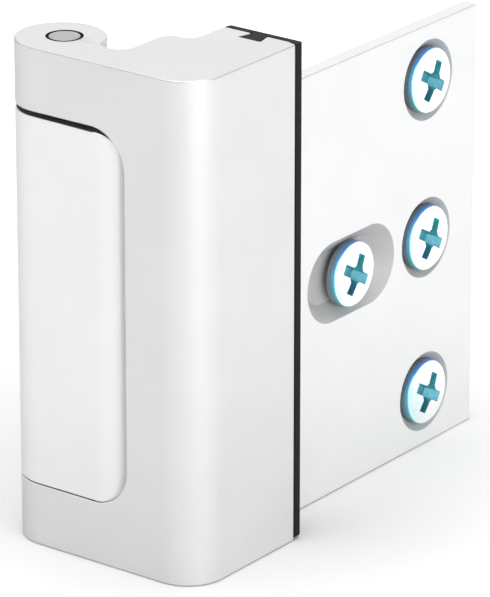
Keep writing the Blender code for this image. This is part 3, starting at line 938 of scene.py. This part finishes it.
def camera():
    """The photograph's viewpoint."""
    data = bpy.data.cameras.new("camera")
    data.sensor_fit = "VERTICAL"
    data.sensor_height = SENSOR_HEIGHT
    data.lens = FOCAL_PIXELS / PHOTO_HEIGHT_PIXELS * SENSOR_HEIGHT
    data.clip_end = CAMERA_CLIP_END
    made = bpy.data.objects.new("camera", data)
    made.location = CAMERA_PLACE
    towards = direction(CAMERA_AZIMUTH, CAMERA_ELEVATION)
    made.rotation_euler = towards.to_track_quat("Z", "Y").to_euler()
    bpy.context.scene.collection.objects.link(made)
    bpy.context.scene.camera = made


def pale_rays(tree):
    """One where a ray comes from the camera, a reflection or a transmission."""
    path = tree.nodes.new("ShaderNodeLightPath")
    result = path.outputs["Is Camera Ray"]
    for kind in ("Is Glossy Ray", "Is Transmission Ray"):
        either = tree.nodes.new("ShaderNodeMath")
        either.operation = "MAXIMUM"
        tree.links.new(result, either.inputs[0])
        tree.links.new(path.outputs[kind], either.inputs[1])
        result = either.outputs["Value"]
    return result


def white_world():
    """A world that looks white but lights the part only faintly."""
    world = bpy.data.worlds.new("studio")
    bpy.context.scene.world = world
    world.use_nodes = True
    tree = world.node_tree
    background = tree.nodes["Background"]
    background.inputs["Color"].default_value = (1, 1, 1, 1)
    strength = tree.nodes.new("ShaderNodeMapRange")
    strength.inputs["To Min"].default_value = WORLD_STRENGTH
    strength.inputs["To Max"].default_value = 1
    tree.links.new(pale_rays(tree), strength.inputs["Value"])
    tree.links.new(strength.outputs["Result"], background.inputs["Strength"])


def floor_finish():
    """Matt white whose own light, far from the part, hides where the floor ends."""
    made, nodes, links, shader = new_finish("floor_white")
    shader.inputs["Base Color"].default_value = (0.9, 0.9, 0.9, 1)
    shader.inputs["Roughness"].default_value = 0.9
    shader.inputs["Emission Color"].default_value = (1, 1, 1, 1)
    spot = nodes.new("ShaderNodeNewGeometry")
    distance = nodes.new("ShaderNodeVectorMath")
    distance.operation = "LENGTH"
    links.new(spot.outputs["Position"], distance.inputs[0])
    stops = [(position, (value, value, value)) for position, value in FLOOR_LIGHT]
    glow = ramp(nodes, links, distance.outputs["Value"], stops)
    lift = nodes.new("ShaderNodeMath")
    lift.operation = "MULTIPLY"
    links.new(pale_rays(made.node_tree), lift.inputs[0])
    links.new(glow, lift.inputs[1])
    links.new(lift.outputs["Value"], shader.inputs["Emission Strength"])
    return made


def floor_sheet():
    """The wide floor that the part stands on."""
    shape = bmesh.new()
    bmesh.ops.create_grid(shape, x_segments=FLOOR_CELLS, y_segments=FLOOR_CELLS, size=FLOOR_REACH)
    mesh = bpy.data.meshes.new("floor")
    shape.to_mesh(mesh)
    shape.free()
    mesh.materials.append(floor_finish())
    floor = bpy.data.objects.new("floor", mesh)
    floor.location.z = -FLOOR_DROP
    bpy.context.scene.collection.objects.link(floor)


# Finishes
bar_satin = satin_finish("bar_satin", (0.75, 0.754, 0.76), (0.78, 0.783, 0.787))
bracket_satin = satin_finish("bracket_satin", (0.87, 0.873, 0.878), (0.90, 0.903, 0.907))
# The rims' darker finishes are painted shade, standing in for the dark lines along the edges.
painted_rim_shade = satin_finish("painted_rim_shade", (0.50, 0.505, 0.51), (0.56, 0.565, 0.57), metallic=0.8)
painted_plate_rim_shade = satin_finish("painted_plate_rim_shade", (0.60, 0.605, 0.61), (0.66, 0.665, 0.67), metallic=0.6)
milled_cone = satin_finish(
    "milled_cone", (0.53, 0.53, 0.53), (0.6, 0.6, 0.6), metallic=0.15, roughness=(0.5, 0.6)
)
# A dark finish as painted shade for the joint gaps, on the knuckle's ends and the lower lug's top.
painted_gap_shade = satin_finish(
    "painted_gap_shade", (0.1, 0.1, 0.102), (0.15, 0.15, 0.152), metallic=0.3, roughness=(0.5, 0.6)
)
inside_shade = satin_finish(
    "inside_shade", (0.02, 0.02, 0.021), (0.04, 0.04, 0.042), metallic=0.3, roughness=(0.5, 0.6)
)
rubber = rubber_finish()
pin_metal = turned_finish("pin_steel", (0.32, 0.32, 0.33), (0.41, 0.41, 0.42), (0.3, 0.42))
steel = turned_finish("spring_steel", (0.4, 0.4, 0.42), (0.55, 0.55, 0.56), (0.25, 0.4))
bronze = turned_finish("bush_bronze", (0.42, 0.25, 0.1), (0.6, 0.4, 0.2), (0.35, 0.5))
# The screws' colours hold painted light: a cyan tint and a highlight across the head, a blue tint
# on its rim, shade on the shank and a teal tint with shade in the recess.
head_painted_tint = zinc_painted_light_finish("head_painted_tint", "Y", [
    (0, (0.68, 0.95, 1)),
    (0.55, (1, 1, 1)),
], roughness=(0.12, 0.2))
rim_painted_tint = zinc_painted_light_finish("rim_painted_tint", "X", [
    (0.1, (0.12, 0.34, 0.85)),
    (0.45, (0.22, 0.68, 1)),
    (1, (0.1, 0.5, 0.5)),
], roughness=(0.15, 0.25), metallic=0.5)
shank_painted_shade = zinc_painted_light_finish("shank_painted_shade", "X", [
    (0, (0.3, 0.36, 0.4)),
    (1, (0.4, 0.44, 0.46)),
], roughness=(0.3, 0.4))
recess_painted_tint = zinc_painted_light_finish("recess_painted_tint", "X", [
    (0.35, (0.03, 0.55, 0.56)),
    (0.65, (0.13, 0.5, 0.55)),
    (0.95, (0.06, 0.26, 0.36)),
], roughness=(0.2, 0.3), metallic=0.35, mottle=0.4)

# Pieces, each on its body
dress(bar_body(bar_satin, painted_rim_shade, inside_shade, painted_gap_shade), "bar", "swing_bar")
dress(pad_strip(rubber), "bar", "door_pad")
dress(pin_body(pin_metal, inside_shade), "bar", "hinge_pin")
bracket = bracket_body(bracket_satin, painted_plate_rim_shade, inside_shade, painted_gap_shade, milled_cone)
dress(bracket, "bracket", "base_bracket")
for name, place in screw_places().items():
    made = screw(name + "_zinc", place, (head_painted_tint, rim_painted_tint, shank_painted_shade), recess_painted_tint)
    dress(made, "bracket", name)
spring_wire(steel)

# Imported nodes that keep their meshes
for name in ("upper_bush", "lower_bush"):
    finish_node(name, bronze)
for name in ("thrust_washer", "lower_washer"):
    finish_node(name, steel)

# Studio and camera
white_world()
floor_sheet()
for lamp in LAMPS:
    area_light(*lamp)
camera()
bpy.context.scene.view_settings.view_transform = "Standard"
